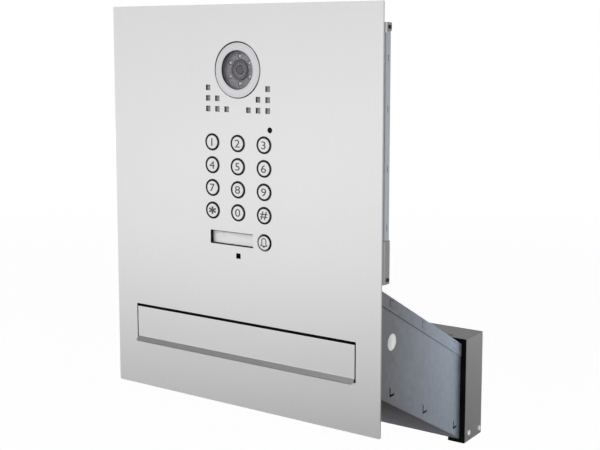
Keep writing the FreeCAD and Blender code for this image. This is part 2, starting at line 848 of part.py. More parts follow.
def make_electronics():
    front_y = main_board_y
    back_y = front_y + board_thickness
    half = main_board_half_width
    low_z = box_bottom_z + main_board_rise
    high_z = low_z + main_board_height
    relay_z = low_z + relay_rise
    chip_z = low_z + chip_rise
    board = block(-half, half, front_y, back_y, low_z, high_z)
    relay = block(relay_x - relay_width / 2, relay_x + relay_width / 2, front_y - relay_height, front_y,
                  relay_z - relay_length / 2, relay_z + relay_length / 2)
    capacitor = rod_y(capacitor_x, low_z + capacitor_rise, front_y - capacitor_height, front_y,
                      capacitor_radius)
    chip = block(-chip_side / 2, chip_side / 2, front_y - chip_height, front_y,
                 chip_z - chip_side / 2, chip_z + chip_side / 2)
    save("main_board", [board, relay, capacitor, chip])
    spacers = []
    for z in (low_z + spacer_inset, high_z - spacer_inset):
        spacers += both_sides(rod_y(half - spacer_inset, z, back_y, box_inner_back_y, spacer_radius))
    save("board_spacers", spacers)

    length = terminal_ways * terminal_pitch
    tip_y = front_y - terminal_depth
    low_z += terminal_inset
    body = block(-length / 2, length / 2, tip_y, front_y, low_z, low_z + terminal_height)
    ways = []
    for i in range(terminal_ways):
        x = (i - (terminal_ways - 1) / 2) * terminal_pitch
        ways.append(rod_y(x, low_z + terminal_height / 2, tip_y, tip_y + terminal_hole_depth,
                          terminal_hole_radius))
    save("terminal_block", cut(body, ways))


def wall_hole_places():
    middle_z = (box_bottom_z + box_top_z) / 2
    return [(sx * wall_hole_spacing_x / 2, middle_z + sz * wall_hole_spacing_z / 2)
            for sz in (-1, 1) for sx in (-1, 1)]


def clip_screw_heights():
    return (box_bottom_z + clip_screw_inset, box_top_z - clip_screw_inset)


def tube(half, low_z, high_z, y0, y1, corner):
    """A block with its four edges along Y rounded like folds."""
    body = block(-half, half, y0, y1, low_z, high_z)
    return body.makeFillet(corner, edges_along(body, V(0, 1, 0)))


def make_back_box():
    side_reach = body_half_width + clip_sheet
    screw_holes = [rod_x(clip_screw_y, z, -side_reach, side_reach, clip_screw_radius + seat)
                   for z in clip_screw_heights()]
    sheet = frame_sheet
    back_y = box_inner_back_y - frame_back_gap
    frame = tube(frame_half, frame_low_z, frame_high_z, 0, back_y, box_corner - frame_fit)
    frame = frame.cut(block(-frame_half + sheet, frame_half - sheet, sheet, box_depth,
                            frame_low_z + sheet, frame_high_z - sheet))
    window = frame_half - frame_flange
    frame = frame.cut(block(-window, window, -1, box_depth,
                            frame_low_z + frame_foot, frame_high_z - frame_flange))
    stud_holes = []
    for rise in frame_stud_rises:
        x = frame_half - frame_flange / 2
        stud_holes += both_sides(rod_y(x, box_bottom_z + rise, -1, sheet + 1, stud_radius + stud_fit))
    save("box_frame", cut(frame, stud_holes + screw_holes))

    sheet = box_sheet
    half = body_half_width
    pan = tube(half, box_bottom_z, box_top_z, box_lip_y, box_depth, box_corner)
    pan = pan.cut(block(-half + sheet, half - sheet, 0, box_inner_back_y,
                        box_bottom_z + sheet, box_top_z - sheet))
    holes = [rod_y(x, z, 0, 2 * box_depth, wall_hole_radius) for x, z in wall_hole_places()]
    grommet_z = box_bottom_z + grommet_rise
    holes.append(rod_y(grommet_x, grommet_z, 0, 2 * box_depth, grommet_hole_radius))
    lance_y = box_depth - lance_inset
    for rise in lance_rises:
        z = box_bottom_z + rise
        holes.append(block(-side_reach, side_reach, lance_y - lance_width / 2,
                           lance_y + lance_width / 2, z - lance_length / 2, z + lance_length / 2))
    save("back_box", cut(pan, holes + screw_holes))

    lip = grommet_hole_radius + grommet_flange
    neck = grommet_hole_radius - seat
    web = grommet_hole_radius - grommet_lip
    save("cable_grommet", turned(grommet_x, grommet_z, [
        (0, box_depth - grommet_lip / 2), (web - grommet_lip, box_depth - grommet_lip / 2),
        (web, box_depth + grommet_lip),
        (lip, box_depth + grommet_lip), (lip, box_depth + seat), (neck, box_depth + seat),
        (neck, box_inner_back_y - seat), (lip, box_inner_back_y - seat),
        (lip - grommet_lip / 2, box_inner_back_y - grommet_lip), (0, box_inner_back_y - grommet_lip)]))


def joggled_clip(z0, z1, slant):
    """Clip on the right side: flat on the frame, then stepped out over the pan's edge."""
    inner_x = frame_half + seat / 2
    outer_x = body_half_width + seat / 2
    step_y = box_lip_y - seat
    front_y = box_depth - clip_reach
    near = [(inner_x, front_y), (inner_x, step_y - clip_joggle), (outer_x, step_y), (outer_x, box_depth)]
    far = [(x + clip_sheet, y) for x, y in reversed(near)]
    points = [V(x, y, z0) for x, y in near + far]
    plate = Part.Face(Part.makePolygon(points + [points[0]])).extrude(V(0, 0, z1 - z0))
    if slant:
        below = [(front_y, z0), (box_depth, z0), (box_depth, z0 + slant)]
        plate = plate.cut(side_plate(below, inner_x, outer_x + clip_sheet))
    return plate


def make_clips():
    """Four joggled steel clips; the upper pair has a slanted lower edge."""
    low_z = box_bottom_z + clip_margin
    high_z = box_top_z - clip_margin
    clips = [joggled_clip(low_z, low_z + clip_low_height, 0),
             joggled_clip(high_z - clip_high_height, high_z, clip_slant)]
    head_x = body_half_width + clip_sheet + 1.5 * seat
    holes = [rod_x(clip_screw_y, z, 0, head_x, clip_screw_radius + seat)
             for z in clip_screw_heights()]
    pieces = []
    for clip in clips:
        pieces += both_sides(cut(clip, holes))
    save("box_clips", pieces)

    tip_x = frame_half - frame_sheet - clip_screw_reach
    end_x = head_x + clip_head_height
    screws = []
    for z in clip_screw_heights():
        shank = rod_x(clip_screw_y, z, tip_x, head_x, clip_screw_radius)
        head = rod_x(clip_screw_y, z, head_x, end_x, clip_head_radius)
        socket = rod_x(clip_screw_y, z, end_x - clip_socket_depth, end_x, clip_socket_radius)
        screws += both_sides(fuse([shank, head]).cut(socket))
    save("box_screws", screws)


def make_studs():
    """Studs welded on the back of the panel, and a nut on each."""
    studs = [rod_y(x, z, 0, stud_length, stud_radius) for x, z in large_stud_places()]
    studs += [rod_y(x, z, 0, small_stud_length, small_stud_radius) for x, z in small_stud_places()]
    save("panel_studs", studs)
    nuts = [nut(x, z, large_nut_rest(z), stud_radius) for x, z in large_stud_places()]
    nuts += [nut(x, z, small_nut_rest(x), small_stud_radius) for x, z in small_stud_places()]
    save("stud_nuts", nuts)


def nut(x, z, rest_y, thread_radius):
    back_y = rest_y + thread_radius * nut_height_factor
    body = hexagon_y(x, z, rest_y, back_y, thread_radius * nut_radius_factor)
    return body.cut(rod_y(x, z, 0, stud_length, thread_radius + seat))


def large_nut_rest(z):
    """Rear face of what a large nut clamps: the box frame's flange or a chute flange."""
    on_frame = z > box_bottom_z
    return (frame_sheet if on_frame else chute_front_gap + chute_sheet) + seat


def small_nut_rest(x):
    """Rear face of what a small nut clamps: the duct's ear, or the keypad frame or housing."""
    on_duct = abs(abs(x) - duct_stud_x) < small_stud_radius
    return (2 * seat + mesh_thickness + duct_wall if on_duct else frame_back_y) + seat


def make_flap():
    front_mid_y = panel_front_y + flap_sheet / 2
    top_mid_z = flap_top_z - flap_sheet / 2
    path = [(front_mid_y - lip_out, flap_face_bottom_z - lip_drop), (front_mid_y, flap_face_bottom_z),
            (front_mid_y, top_mid_z), (flap_axis_y, top_mid_z)]
    sheet = folded(path, flap_bend - flap_sheet / 2, flap_sheet, -flap_half, flap_half)
    barrel = rod_x(flap_axis_y, flap_axis_z, -flap_half, flap_half, barrel_outer)
    bore = rod_x(flap_axis_y, flap_axis_z, -flap_half, flap_half, flap_pin_radius + pin_clearance)
    lip_end_z = flap_face_bottom_z - lip_drop - flap_sheet
    near_y = panel_front_y - 2 * lip_out
    round_x = flap_half - lip_corner
    round_z = lip_end_z + lip_corner
    notch = block(round_x, flap_half, near_y, panel_front_y, lip_end_z, round_z)
    notch = notch.cut(rod_y(round_x, round_z, near_y, panel_front_y, lip_corner))
    save("slot_flap", cut(fuse([sheet, barrel]), both_sides(notch) + [bore]))

    end_x = bracket_x + bracket_sheet + 2 * seat
    pin = rod_x(flap_axis_y, flap_axis_z, -end_x, end_x, flap_pin_radius)
    heads = both_sides(rod_x(flap_axis_y, flap_axis_z, end_x, end_x + pin_head_length,
                             flap_pin_radius + pin_head_lap))
    save("flap_pin", fuse([pin] + heads))


def make_flap_brackets():
    """At each end of the slot: a base on the panel, an ear for the pin and a tab that the
    closed flap rests against through a rubber buffer."""
    low_z = slot_bottom_z + stop_rise
    high_z = flap_axis_z + bracket_ear_height / 2
    pin_reach = flap_pin_radius + pin_head_lap + bracket_head_gap
    base = block(bracket_x, bracket_x + bracket_width, 0, bracket_sheet, low_z, flap_axis_z - pin_reach)
    ear = block(bracket_x, bracket_x + bracket_sheet, 0, bracket_ear_depth,
                high_z - bracket_ear_height, high_z)
    round_edges = [edge for edge in edges_along(ear, V(1, 0, 0)) if edge.CenterOfMass.y > bracket_sheet]
    ear = ear.makeFillet(bracket_ear_round, round_edges)
    stop = block(bracket_x - stop_width, bracket_x, 0, bracket_sheet, low_z, low_z + stop_height)
    hole = rod_x(flap_axis_y, flap_axis_z, 0, bracket_x + bracket_width, flap_pin_radius + seat / 2)
    save("flap_brackets", both_sides(fuse([base, ear, stop]).cut(hole)))
    buffer_x = bracket_x - stop_width + buffer_radius + buffer_inset
    front_y = panel_front_y + flap_sheet + buffer_gap
    save("flap_buffers", both_sides(rod_y(buffer_x, low_z + stop_height / 2, front_y, 0, buffer_radius)))


def chute_floor(y):
    """Height of the tray's underside at a depth."""
    return chute_bottom_z - chute_slope * y


def chute_roof(y):
    """Height of the cover's upper face at a depth."""
    return chute_top_z - chute_slope * max(0.0, y - chute_flat)


def folds_along(shape, x, height):
    """Edges at both sides of a shape that follow a given height line."""
    return [edge for edge in shape.Edges
            if abs(abs(edge.CenterOfMass.x) - x) < 1e-4
            and abs(edge.CenterOfMass.z - height(edge.CenterOfMass.y)) < 1e-4]


def make_tray():
    rim = chute_sheet_z + cover_gap
    y0 = chute_front_gap
    y1 = chute_rear_y
    outline = [(y0, chute_floor(y0)), (y1, chute_floor(y1)), (y1, chute_roof(y1) - rim),
               (chute_flat, chute_roof(chute_flat) - rim), (y0, chute_roof(y0) - rim)]
    outer = side_plate(outline, -body_half_width, body_half_width)
    outer = outer.makeFillet(chute_corner, folds_along(outer, body_half_width, chute_floor))

    def inside_floor(y):
        return chute_floor(y) + chute_sheet_z

    inner = side_plate([(0, inside_floor(0)), (2 * y1, inside_floor(2 * y1)), (2 * y1, chute_top_z),
                        (0, chute_top_z)], -chute_inner_half, chute_inner_half)
    inner = inner.makeFillet(chute_corner - chute_sheet, folds_along(inner, chute_inner_half, inside_floor))

    flange_x = body_half_width - chute_flange_width
    flange_low_z = chute_bottom_z + chute_flange_gap
    flange_high_z = chute_top_z - cover_front_flange - chute_flange_gap
    side_x = body_half_width - chute_sheet / 2
    pieces = [outer.cut(inner)]
    pieces += both_sides(block(flange_x, side_x, y0, y0 + chute_sheet, flange_low_z, flange_high_z))
    foot_top_z = chute_bottom_z + chute_sheet / 2
    pieces.append(block(-flange_x, flange_x, y0, y0 + chute_sheet, chute_bottom_z - chute_foot, foot_top_z))

    def middle(y):
        return (y, chute_floor(y) + chute_sheet_z / 2)

    end = (recess_y + casing_sheet + tongue_reach, sill_z + seat + chute_sheet / 2)
    reach = mouth_half - tongue_margin
    pieces.append(folded([middle(y1 - 2 * tongue_run), middle(y1 - tongue_run), end],
                         2 * chute_sheet, chute_sheet, -reach, reach))

    through = (-body_half_width, body_half_width)
    holes = [rod_x(side_hole_y, chute_bottom_z + side_hole_rise, *through, side_hole_radius)]
    for y in hook_depths + (chute_rear_y - hook_rear_margin,):
        z = chute_floor(y) + hook_height
        holes.append(block(*through, y, y + hook_width, z, z + hook_length))
        holes.append(block(*through, y, y + hook_length, z, z + hook_width))
    for x, z in large_stud_places():
        if z < flange_high_z:
            holes.append(rod_y(x, z, 0, 2 * chute_sheet, stud_radius + stud_fit))
    save("chute_tray", cut(fuse(pieces), holes))


def make_cover():
    y0 = chute_front_gap
    mid = chute_sheet / 2
    wall_y = recess_y - mid - seat
    path = [(y0 + mid, chute_top_z - cover_front_flange), (y0 + mid, chute_top_z - mid),
            (chute_flat, chute_top_z - mid), (wall_y, chute_roof(wall_y) - chute_sheet_z / 2),
            (wall_y, chute_roof(wall_y) + cover_rear_flange)]
    reach = recess_half - cover_margin
    strip = folded(path, cover_bend - mid, chute_sheet, -reach, reach)

    side_x = body_half_width + seat
    outer_x = side_x + chute_sheet
    line = [(y, chute_roof(y)) for y in (2 * cover_bend, chute_flat, chute_rear_y)]
    top = side_plate(line + [(y, z - chute_sheet_z) for y, z in reversed(line)], -outer_x, outer_x)
    skirt = side_plate(line + [(y, z - cover_skirt) for y, z in reversed(line)], side_x, outer_x)
    pieces = [strip, top] + both_sides(skirt)
    slots = []
    for y in tab_depths + (chute_rear_y - tab_rear_margin,):
        z = chute_roof(y) - tab_drop
        far = (y + tab_side, z - tab_side * chute_slope)
        tab = [(y, z), far, (far[0], far[1] - tab_side), (y, z - tab_side)]
        slot = [(y, z), far, (far[0], far[1] + tab_slot), (y, z + tab_slot)]
        pieces += both_sides(side_plate(tab, side_x + mid, outer_x + tab_rise))
        slots += both_sides(side_plate(slot, side_x, outer_x))
    cover = fuse(pieces)
    cover = cover.makeFillet(cover_bend / 2, folds_along(cover, outer_x, chute_roof))
    for x, z in large_stud_places():
        if chute_top_z - cover_front_flange < z < box_bottom_z:
            slots.append(rod_y(x, z, 0, 2 * chute_sheet, stud_radius + stud_fit))
    slots += both_sides(rod_y(casing_screw_x, casing_screw_z, wall_y - mid, wall_y + mid,
                              casing_screw_radius + seat))
    save("chute_cover", cut(cover, slots))


def make_casing():
    half = casing_half_width
    sheet = casing_sheet
    low_z = casing_bottom_z
    high_z = casing_top_z
    front_y = casing_front_y
    outer = tube(half, low_z, high_z, front_y, casing_rear_y, casing_corner)
    outer = outer.cut(block(-recess_half, recess_half, front_y, recess_y, low_z, high_z))
    inner = block(-half + sheet, half - sheet, front_y + sheet, casing_rear_y, low_z + sheet, high_z - sheet)
    wall = block(-recess_half - sheet, recess_half + sheet, front_y, recess_y + sheet, low_z, high_z)
    mouth = block(-mouth_half, mouth_half, recess_y, recess_y + sheet, sill_z, casing_mouth_top_z)
    lug_y = door_front_y - stop_lug_gap
    lugs = both_sides(block(half - sheet - stop_lug_width, half - sheet, lug_y - sheet, lug_y,
                            high_z - stop_lug_drop, high_z - stop_lug_drop + stop_lug_height))
    catch_y = cam_back_y + catch_gap + catch_sheet / 2
    roof_z = high_z - sheet - catch_sheet / 2
    catch_path = [(catch_y, high_z - sheet - catch_drop), (catch_y, roof_z), (catch_y - catch_foot, roof_z)]
    catch = folded(catch_path, catch_sheet, catch_sheet, -catch_width / 2, catch_width / 2)
    holes = [mouth]
    holes += both_sides(rod_x(pivot_y, pivot_z, half - 2 * sheet, half, pivot_radius + seat / 2))
    holes += both_sides(rod_x(rivet_y, rivet_z, half - 2 * sheet, half, rivet_radius + seat / 2))
    holes += both_sides(rod_y(casing_screw_x, casing_screw_z, recess_y, recess_y + sheet,
                              casing_screw_radius + seat))
    save("rear_casing", cut(fuse([outer.cut(inner.cut(wall))] + lugs + [catch]), holes))

    seal = block(recess_half, half - seal_margin, front_y - seal_thickness, front_y - seat / 2,
                 low_z + seal_margin, high_z - seal_margin)
    save("casing_seal", both_sides(seal))
    save("casing_rivets", both_sides(side_pin(rivet_y, rivet_z, rivet_reach, rivet_radius)))

    head_y = recess_y - chute_sheet - 2 * seat
    top_y = head_y - casing_screw_head_height
    bevel = casing_screw_head_height / 2
    tip_y = recess_y + casing_screw_reach
    save("casing_screws", both_sides(turned(casing_screw_x, casing_screw_z, [
        (0, top_y), (casing_screw_head - bevel, top_y), (casing_screw_head, top_y + bevel),
        (casing_screw_head, head_y), (casing_screw_radius, head_y), (casing_screw_radius, tip_y),
        (0, tip_y)])))


def side_pin(y, z, reach, radius):
    """A headed pin through the casing's right side, reaching inwards from its outer face."""
    head_x = casing_half_width + seat
    shank = rod_x(y, z, casing_half_width - reach, head_x, radius)
    return fuse([shank, rod_x(y, z, head_x, head_x + rivet_head_height, rivet_head_radius)])


def door_pan(inset):
    """The door's outer form, or with an inset its hollow, with the folds along the top and
    the bottom rounded."""
    front_y = door_front_y if inset == 0 else door_front_y - 1
    rear_y = casing_rear_y - inset
    half = door_half - inset
    pan = block(-half, half, front_y, rear_y, door_low_z + inset, door_high_z - inset)
    rear_edges = [edge for edge in edges_along(pan, V(1, 0, 0)) if edge.CenterOfMass.y > door_front_y]
    low = [edge for edge in rear_edges if edge.CenterOfMass.z < 0]
    high = [edge for edge in rear_edges if edge.CenterOfMass.z > 0]
    pan = pan.makeFillet(door_bottom_radius - inset, low)
    high = [edge for edge in edges_along(pan, V(1, 0, 0))
            if edge.CenterOfMass.isEqual(high[0].CenterOfMass, 1e-3)]
    return pan.makeFillet(door_edge_radius - inset, high)


def make_door():
    holes = [rod_x(pivot_y, pivot_z, -door_half, door_half, pivot_radius + pin_clearance),
             lock_shank(door_front_y, casing_rear_y, lock_hole_fit)]
    save("rear_door", cut(door_pan(0), [door_pan(door_sheet)] + holes))
    save("door_pins", both_sides(side_pin(pivot_y, pivot_z, pivot_reach, pivot_radius)))


def lock_shank(y0, y1, grow):
    """Threaded body of the cam lock with its two flats."""
    flat = lock_flat + grow
    radius = lock_body_radius + grow
    shank = rod_y(0, lock_z, y0, y1, radius)
    return shank.common(block(-radius, radius, y0, y1, lock_z - flat, lock_z + flat))


def make_lock():
    rear = casing_rear_y
    face_y = rear + lock_head_height
    bevel = lock_head_height / 4
    head = turned(0, lock_z, [
        (0, rear + seat), (lock_head_radius, rear + seat), (lock_head_radius, face_y - bevel),
        (lock_head_radius - bevel, face_y), (0, face_y)])
    body = fuse([lock_shank(lock_tip_y, rear + seat, 0), head])
    save("lock_body", body.cut(rod_y(0, lock_z, lock_tip_y, face_y, lock_plug_radius + pin_clearance)))
    nut_back = rear - door_sheet - seat
    lock_nut = hexagon_y(0, lock_z, nut_back - lock_nut_height, nut_back, lock_nut_radius)
    save("lock_nut", lock_nut.cut(rod_y(0, lock_z, 0, rear, lock_body_radius + seat)))

    cam_front_y = cam_back_y - cam_thickness
    barrel = rod_y(0, lock_z, cam_back_y, face_y + 2 * seat, lock_plug_radius)
    reach = cam_square / 2
    square = block(-reach, reach, cam_front_y, cam_back_y, lock_z - reach, lock_z + reach)
    keyway = block(-keyway_width / 2, keyway_width / 2, face_y - keyway_depth, face_y + 1,
                   lock_z - keyway_height / 2, lock_z + keyway_height / 2)
    save("lock_plug", fuse([barrel, square]).cut(keyway))

    half = cam_width / 2
    back_y = cam_back_y - seat / 2
    arm = block(0, cam_length, cam_front_y, back_y, lock_z - half, lock_z + half)
    tip = [edge for edge in edges_along(arm, V(0, 1, 0)) if edge.CenterOfMass.x > half]
    arm = arm.makeFillet(cam_corner, tip)
    cam = fuse([arm, rod_y(0, lock_z, cam_front_y, back_y, half)])
    reach += seat / 2
    cam = cam.cut(block(-reach, reach, cam_front_y, back_y, lock_z - reach, lock_z + reach))
    screw_back_y = cam_front_y - seat
    screw = hexagon_y(0, lock_z, screw_back_y - cam_screw_height, screw_back_y, cam_screw_radius)
    save("lock_cam", [cam, screw])


os.makedirs("parts", exist_ok=True)
make_front_panel()
make_camera()
make_speaker()
make_keys()
make_keypad_frame()
make_key_contacts()
make_nameplate()
make_sensor_and_microphone()
make_electronics()
make_back_box()
make_clips()
make_studs()
make_flap()
make_flap_brackets()
make_tray()
make_cover()
make_casing()
make_door()
make_lock()
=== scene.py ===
import json
import math

import bmesh
import bpy
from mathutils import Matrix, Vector


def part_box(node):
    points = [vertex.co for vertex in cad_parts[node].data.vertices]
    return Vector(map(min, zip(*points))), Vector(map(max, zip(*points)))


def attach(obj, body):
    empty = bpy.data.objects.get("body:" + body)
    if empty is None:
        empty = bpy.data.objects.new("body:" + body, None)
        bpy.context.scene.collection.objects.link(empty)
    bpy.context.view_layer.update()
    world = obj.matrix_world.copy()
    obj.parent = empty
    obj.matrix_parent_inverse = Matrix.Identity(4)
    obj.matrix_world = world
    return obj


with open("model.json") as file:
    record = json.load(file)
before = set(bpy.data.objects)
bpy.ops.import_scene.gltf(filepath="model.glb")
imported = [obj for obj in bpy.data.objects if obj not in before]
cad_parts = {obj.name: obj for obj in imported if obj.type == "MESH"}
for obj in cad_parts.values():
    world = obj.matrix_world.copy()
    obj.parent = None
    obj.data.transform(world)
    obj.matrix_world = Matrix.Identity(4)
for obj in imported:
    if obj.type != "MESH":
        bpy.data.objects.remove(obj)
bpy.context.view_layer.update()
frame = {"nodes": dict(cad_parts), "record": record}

nodes = frame["nodes"]
scene = bpy.context.scene
print("frame loaded")

# Camera, where the photograph was taken from
viewpoint = {
    "place": (0.77391, -1.00963, 0.43754),
    "turn": (83.233, 0.0, 34.234),  # degrees
    "lens": 65.258,
    "shiftY": -0.0917,
}
turn = [math.radians(angle) for angle in viewpoint["turn"]]
bpy.ops.object.camera_add(location=viewpoint["place"], rotation=turn)
camera = bpy.context.object
camera.data.lens = viewpoint["lens"]
camera.data.shift_y = viewpoint["shiftY"]
scene.camera = camera
scene.view_settings.view_transform = "Standard"
print("camera placed")


# A socket that takes part in sums, and makes any other node
class Wire:
    def __init__(self, tree, socket=None):
        self.tree = tree
        self.socket = socket

    def node(self, kind, settings, sockets, out=0):
        made = self.tree.nodes.new("ShaderNode" + kind)
        for name, value in settings.items():
            if name == "stops":
                for i, (at, colour) in enumerate(value):
                    stop = made.color_ramp.elements[i] if i < 2 else made.color_ramp.elements.new(at)
                    stop.position = at
                    stop.color = (*colour, 1)
            else:
                setattr(made, name, value)
        for name, value in sockets.items():
            if isinstance(value, Wire):
                self.tree.links.new(value.socket, made.inputs[name])
            else:
                made.inputs[name].default_value = value
        return Wire(self.tree, made.outputs[out])

    def maths(self, operation, first, second):
        return self.node("Math", {"operation": operation}, {0: first, 1: second})

    def __add__(self, other):
        return self.maths("ADD", self, other)

    def __radd__(self, other):
        return self.maths("ADD", other, self)

    def __sub__(self, other):
        return self.maths("SUBTRACT", self, other)

    def __rsub__(self, other):
        return self.maths("SUBTRACT", other, self)

    def __mul__(self, other):
        return self.maths("MULTIPLY", self, other)

    def __rmul__(self, other):
        return self.maths("MULTIPLY", other, self)

    def __truediv__(self, other):
        return self.maths("DIVIDE", self, other)

    def __rtruediv__(self, other):
        return self.maths("DIVIDE", other, self)


def axisOf(wire, vector, axis):
    return wire.node("SeparateXYZ", {}, {"Vector": vector}, axis)


def lengthOf(wire, vector):
    return wire.node("VectorMath", {"operation": "LENGTH"}, {0: vector}, "Value")


def along(wire, vector, way):
    return wire.node("VectorMath", {"operation": "DOT_PRODUCT"}, {0: vector, 1: way}, "Value")


def ramp(wire, stops, share):
    return wire.node("ValToRGB", {"stops": stops}, {"Fac": share}, "Color")


def greyRamp(wire, pairs, share):
    return ramp(wire, [(at, (grey, grey, grey)) for at, grey in pairs], share)


def between(wire, value, low, high):  # 0 at the low value, 1 at the high one
    return wire.node("MapRange", {}, {"Value": value, "From Min": low, "From Max": high})


def mixed(wire, share, under, over, blend="MIX"):
    settings = {"data_type": "RGBA", "blend_type": blend}
    return wire.node("Mix", settings, {0: share, 6: under, 7: over}, 2)


def halved(value):  # from -1 to 1 becomes from 0 to 1
    return value * 0.5 + 0.5


# World: white where it is seen directly, a plain soft studio for the object
studio = {
    "softbox": (-0.45, -0.77, 0.45),  # where most of the light on matt parts comes from
    "air": (  # that light, by nearness to it
        (0.0, 0.30), (0.5, 0.38), (0.90, 0.50), (0.93, 1.0), (0.965, 2.9), (1.0, 2.9)),
    "sky": (  # what metal sees, by height
        (0.0, 0.90), (0.06, 0.72), (0.16, 0.70), (0.32, 0.88),
        (0.5, 0.27), (0.82, 0.22), (0.93, 0.60), (1.0, 0.75)),
    "round": (  # share of it, from front to rear
        (0.0, 1.02), (0.06, 1.05), (0.105, 1.14), (0.14, 0.94), (0.25, 0.72),
        (0.5, 0.58), (0.86, 0.46), (0.94, 0.52), (1.0, 0.76)),
}


def seenDirectly(wire):
    straight = wire.node("LightPath", {}, {}, "Is Camera Ray")
    return straight + wire.node("LightPath", {}, {}, "Is Transmission Ray")


def roundTheRoom(wire, depth):
    return greyRamp(wire, studio["round"], halved(depth))


def whiteBackground():
    world = bpy.data.worlds.new("studio")
    scene.world = world
    world.use_nodes = True
    tree = world.node_tree
    tree.nodes.clear()
    wire = Wire(tree)
    seen = seenDirectly(wire)
    glossy = wire.node("LightPath", {}, {}, "Is Glossy Ray")
    way = wire.node("TexCoord", {}, {}, "Generated")
    sky = greyRamp(wire, studio["sky"], axisOf(wire, way, "Z"))
    mirror = sky * roundTheRoom(wire, axisOf(wire, way, "Y"))
    air = greyRamp(wire, studio["air"], halved(along(wire, way, studio["softbox"])))
    soft = air + glossy * (mirror - air)
    light = wire.node("Background", {}, {"Color": soft + seen * (1 - soft), "Strength": 1})
    tree.links.new(light.socket, tree.nodes.new("ShaderNodeOutputWorld").inputs["Surface"])


# Floor: matt and white, with the object's shadow, and a glow of its own for metal to see
floorSheet = {
    "height": -0.55,
    "size": 16.0,
    "grey": (0.75, 0.75, 0.75, 1),
    "lift": 0.41,  # brings it up to white
    "liftByMetre": 0.015,
    "reach": 5.0,
    "glow": (  # by share of the reach
        (0.0, (0.095, 0.064, 0.053)), (0.2, (0.17, 0.15, 0.145)), (0.32, (0.52, 0.52, 0.52)),
        (0.5, (0.79, 0.79, 0.79)), (0.7, (1.06, 1.06, 1.06)), (1.0, (1.10, 1.10, 1.10))),
}


def paleFloor():
    bpy.ops.mesh.primitive_plane_add(size=floorSheet["size"], location=(0, 0, floorSheet["height"]))
    floor = bpy.context.object
    floor.name = "floor"
    material = bpy.data.materials.new("floorWhite")
    material.use_nodes = True
    tree = material.node_tree
    tree.nodes.clear()
    wire = Wire(tree)
    glossy = wire.node("LightPath", {}, {}, "Is Glossy Ray")
    place = wire.node("TexCoord", {}, {}, "Object")
    away = lengthOf(wire, place)
    glow = ramp(wire, floorSheet["glow"], away / floorSheet["reach"])
    around = roundTheRoom(wire, axisOf(wire, place, "Y") / away)
    matt = wire.node("BsdfDiffuse", {}, {"Color": floorSheet["grey"]})
    mirror = wire.node("Emission", {}, {
        "Color": mixed(wire, 1, glow, around, "MULTIPLY"), "Strength": 1})
    lift = wire.node("Emission", {}, {
        "Color": floorSheet["lift"] + away * floorSheet["liftByMetre"], "Strength": 1})
    white = wire.node("AddShader", {}, {0: matt, 1: lift})
    lit = wire.node("MixShader", {}, {0: glossy, 1: matt, 2: mirror})
    surface = wire.node("MixShader", {}, {0: seenDirectly(wire), 1: lit, 2: white})
    tree.links.new(surface.socket, tree.nodes.new("ShaderNodeOutputMaterial").inputs["Surface"])
    floor.data.materials.append(material)


# Three soft lamps, all aimed at one point of the object
lamps = {
    "aim": (0, 0.05, 0.2),
    "each": (  # name, place, size, watts
        ("lampLeft", (-3.3, -0.9, 0.6), 1.5, 7.0),
        ("lampTop", (0.3, -0.9, 2.6), 1.6, 5.0),
        ("lampRight", (2.6, 0.15, 0.9), 1.4, 16.0),
    ),
}


def softLamp(name, place, size, watts):
    bpy.ops.object.light_add(type="AREA", location=place)
    lamp = bpy.context.object
    lamp.name = name
    lamp.data.size = size
    lamp.data.energy = watts
    ray = Vector(lamps["aim"]) - Vector(place)
    lamp.rotation_euler = ray.to_track_quat("-Z", "Y").to_euler()


whiteBackground()
paleFloor()
for lamp in lamps["each"]:
    softLamp(*lamp)
print("studio lit")


# Finishes. Each one starts from Blender's own Principled shader
grains = {  # noise: cells in a metre, and detail
    "brush": (2600.0, 1.0),
    "scuff": (900.0, 3.0),
    "cloth": (700.0, 3.0),
    "pebble": (600.0, 3.0),
    "rubber": (500.0, 3.0),
    "cone": (400.0, 3.0),
    "track": (300.0, 2.0),
    "foam": (260.0, 3.0),
    "dust": (220.0, 4.0),
    "cloud": (60.0, 3.0),
    "haze": (7.0, 3.0),
    "patch": (7.0, 2.0),
}
tintSpan = (0.3, 0.7)  # a mask under the first is all dark, over the second all light


def newFinish(name):
    material = bpy.data.materials.new(name)
    material.use_nodes = True
    wire = Wire(material.node_tree)
    return material, wire, material.node_tree.nodes["Principled BSDF"]


def setSurface(wire, shader, values):
    for name, value in values.items():
        if isinstance(value, Wire):
            wire.tree.links.new(value.socket, shader.inputs[name])
        else:
            shader.inputs[name].default_value = value


def onPiece(wire, stretch=(1, 1, 1), centre=(0, 0, 0)):
    place = wire.node("TexCoord", {}, {}, "Object")
    moved = wire.node("VectorMath", {"operation": "SUBTRACT"}, {0: place, 1: centre})
    return wire.node("Mapping", {"vector_type": "POINT"}, {"Vector": moved, "Scale": stretch})


def speckle(wire, vector, grain):
    scale, detail = grains[grain]
    return wire.node("TexNoise", {}, {"Vector": vector, "Scale": scale, "Detail": detail}, "Fac")


def tint(wire, mask, tones):
    return ramp(wire, tuple(zip(tintSpan, tones)), mask)


def uneven(rough, grain, spread):
    return rough + (grain - 0.5) * spread


def relief(wire, height, distance):
    return wire.node("Bump", {}, {"Height": height, "Distance": distance, "Strength": 1.0})


def greys(dark, light):
    return (dark, dark, dark), (light, light, light)


def middleOf(corners):
    return sum(corners, Vector()) / 2


# Brushed sheet: long fine strokes one way, with broad soft patches under them
brushing = {
    "fineShare": 0.6,
    "patchShare": 0.4,
}
cutWalls = {  # of the panel's openings, painted dark as shade inside them
    "front": -0.00185,
    "rear": -0.00015,
    "reach": 0.17,  # to both sides of the middle
    "foot": 0.03,
    "head": 0.46,
    # colour of the painted shade on the walls
    "paintedShade": (0.02, 0.02, 0.02, 1),
}


